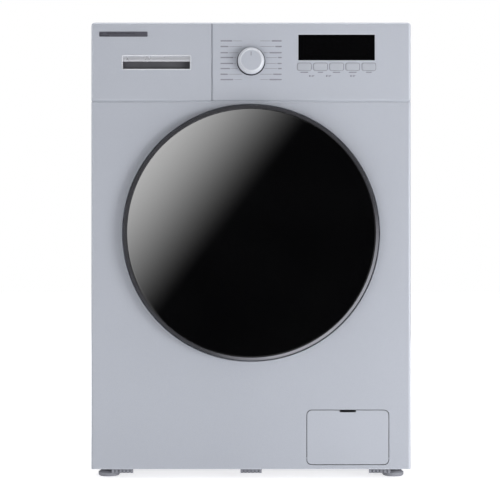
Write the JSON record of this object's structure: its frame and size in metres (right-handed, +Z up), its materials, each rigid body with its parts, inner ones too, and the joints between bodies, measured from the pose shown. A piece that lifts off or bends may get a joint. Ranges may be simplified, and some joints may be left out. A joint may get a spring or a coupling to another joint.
{
  "type": "washing machine",
  "caption": "Full-size front-loading washing machine with a round side-hinged door, suspended tub and belt-driven drum, detergent drawer, control panel and drain filter.",
  "frame": {"origin": "on the floor, under the middle of the bounding box", "axes": "+Z up, -Y out of the front, +X to the right as seen from the front"},
  "size_m": [0.595, 0.56, 0.85],
  "materials": {
    "silver_steel": "metallic satin",
    "silver_plastic": "metallic satin",
    "silver_top": "laminated satin",
    "galvanised": "galvanised",
    "screw_steel": "zinc plated",
    "stainless": "brushed",
    "shaft_steel": "ground",
    "bearing_steel": "polished",
    "spring_steel": "oiled",
    "chrome": "polished",
    "cast_aluminium": "as cast",
    "zinc_casting": "as cast",
    "motor_metal": "satin",
    "concrete": "rough",
    "black_gloss": "high gloss",
    "black_satin": "satin",
    "dark_grey": "fine texture",
    "grey_plastic": "fine texture",
    "white_plastic": "satin",
    "tub_plastic": "satin",
    "blue_plastic": "satin",
    "board": "solder mask",
    "glass": "clear",
    "seal_rubber": "matte",
    "black_rubber": "matte"
  },
  "bodies": {
    "cabinet": {"left_side_panel": "silver_steel", "right_side_panel": "silver_steel", "rear_panel": "galvanised", "rear_access_cover": "galvanised", "cabinet_screws": "screw_steel", "base_pan": "dark_grey", "front_panel": "silver_steel", "top_lid": "silver_top", "control_fascia": "silver_plastic", "display_window": "black_gloss", "control_board": "board", "dispenser_housing": "white_plastic", "dispenser_hose": "black_rubber", "inlet_valve": "white_plastic", "fill_hose": "black_rubber", "door_seal": "seal_rubber", "door_lock": "white_plastic", "hinge_bracket": "zinc_casting", "pump_body": "white_plastic", "service_pocket": "grey_plastic", "sump_hose": "black_rubber", "drain_hose": "grey_plastic", "mains_gland": "black_satin", "rear_feet": "dark_grey", "damper_cylinders": "dark_grey", "suspension_springs": "spring_steel"},
    "tub": {"tub_rear": "tub_plastic", "tub_front": "tub_plastic", "counterweights": "concrete", "heater": "stainless", "drum_bearings": "bearing_steel", "motor_body": "motor_metal", "damper_rods": "shaft_steel", "drive_belt": "black_rubber"},
    "drum": {"drum_shell": "stainless", "drum_paddles": "grey_plastic", "drum_spider": "cast_aluminium", "drum_shaft": "shaft_steel", "drum_pulley": "cast_aluminium"},
    "motor_rotor": {"motor_pulley": "shaft_steel"},
    "door": {"door_ring": "black_gloss", "door_cover": "black_gloss", "door_inner_frame": "grey_plastic", "door_glass": "glass", "door_hinge_arm": "zinc_casting"},
    "latch": {"latch_hook": "zinc_casting"},
    "drawer": {"drawer_front": "silver_plastic", "drawer_tray": "white_plastic", "drawer_grip": "chrome"},
    "knob": {"programme_knob": "silver_plastic"},
    "flap": {"service_flap": "silver_plastic"},
    "filter": {"pump_filter": "blue_plastic"},
    "impeller": {"pump_impeller": "white_plastic"},
    "left_foot": {"foot_left": "dark_grey"},
    "right_foot": {"foot_right": "dark_grey"},
    "key_1": {"button_1": "silver_plastic"},
    "key_2": {"button_2": "silver_plastic"},
    "key_3": {"button_3": "silver_plastic"},
    "key_4": {"button_4": "silver_plastic"},
    "key_5": {"button_5": "silver_plastic"}
  },
  "joints": [
    {"name": "tub_float", "type": "slide", "parent": "cabinet", "child": "tub", "axis": [0, 0, 1], "range_m": [-0.01, 0.008], "stiffness_N_per_m": 20000, "springref_m": 0.01287, "deforming": ["suspension_springs", "dispenser_hose", "sump_hose", "door_seal"]},
    {"name": "drum_spin", "type": "hinge", "parent": "tub", "child": "drum", "pos_m": [0, 0, 0.458], "axis": [0, 1, 0], "continuous": true},
    {"name": "motor_spin", "type": "hinge", "parent": "tub", "child": "motor_rotor", "pos_m": [-0.042, 0, 0.131], "axis": [0, 1, 0], "continuous": true},
    {"name": "door_swing", "type": "hinge", "parent": "cabinet", "child": "door", "pos_m": [-0.226, -0.2575, 0.458], "axis": [0, 0, -1], "range_deg": [0, 110]},
    {"name": "latch_tilt", "type": "hinge", "parent": "door", "child": "latch", "pos_m": [0.206, -0.256, 0.453], "axis": [-1, 0, 0], "range_deg": [0, 8], "stiffness_Nm_per_rad": 0.1, "springref_deg": -11.46},
    {"name": "drawer_slide", "type": "slide", "parent": "cabinet", "child": "drawer", "axis": [0, -1, 0], "range_m": [0, 0.215]},
    {"name": "knob_turn", "type": "hinge", "parent": "cabinet", "child": "knob", "pos_m": [0, -0.248, 0.777], "axis": [0, 1, 0], "continuous": true},
    {"name": "flap_tilt", "type": "hinge", "parent": "cabinet", "child": "flap", "pos_m": [0.18, -0.243, 0.038], "axis": [1, 0, 0], "range_deg": [0, 90]},
    {"name": "filter_turn", "type": "hinge", "parent": "cabinet", "child": "filter", "pos_m": [0.168, -0.212, 0.0815], "axis": [0, -1, 0], "range_deg": [0, 100]},
    {"name": "impeller_spin", "type": "hinge", "parent": "cabinet", "child": "impeller", "pos_m": [0.168, -0.158, 0.0815], "axis": [0, 1, 0], "continuous": true},
    {"name": "left_foot_screw", "type": "hinge", "parent": "cabinet", "child": "left_foot", "pos_m": [-0.2685, -0.202, 0], "axis": [0, 0, 1], "continuous": true},
    {"name": "right_foot_screw", "type": "hinge", "parent": "cabinet", "child": "right_foot", "pos_m": [0.2685, -0.202, 0], "axis": [0, 0, 1], "continuous": true},
    {"name": "key_1_press", "type": "slide", "parent": "cabinet", "child": "key_1", "axis": [0, 1, 0], "range_m": [0, 0.0015], "stiffness_N_per_m": 800, "springref_m": -0.0005},
    {"name": "key_2_press", "type": "slide", "parent": "cabinet", "child": "key_2", "axis": [0, 1, 0], "range_m": [0, 0.0015], "stiffness_N_per_m": 800, "springref_m": -0.0005},
    {"name": "key_3_press", "type": "slide", "parent": "cabinet", "child": "key_3", "axis": [0, 1, 0], "range_m": [0, 0.0015], "stiffness_N_per_m": 800, "springref_m": -0.0005},
    {"name": "key_4_press", "type": "slide", "parent": "cabinet", "child": "key_4", "axis": [0, 1, 0], "range_m": [0, 0.0015], "stiffness_N_per_m": 800, "springref_m": -0.0005},
    {"name": "key_5_press", "type": "slide", "parent": "cabinet", "child": "key_5", "axis": [0, 1, 0], "range_m": [0, 0.0015], "stiffness_N_per_m": 800, "springref_m": -0.0005}
  ],
  "couplings": [
    {"joint": "motor_spin", "follows": "drum_spin", "ratio": 12.5}
  ]
}
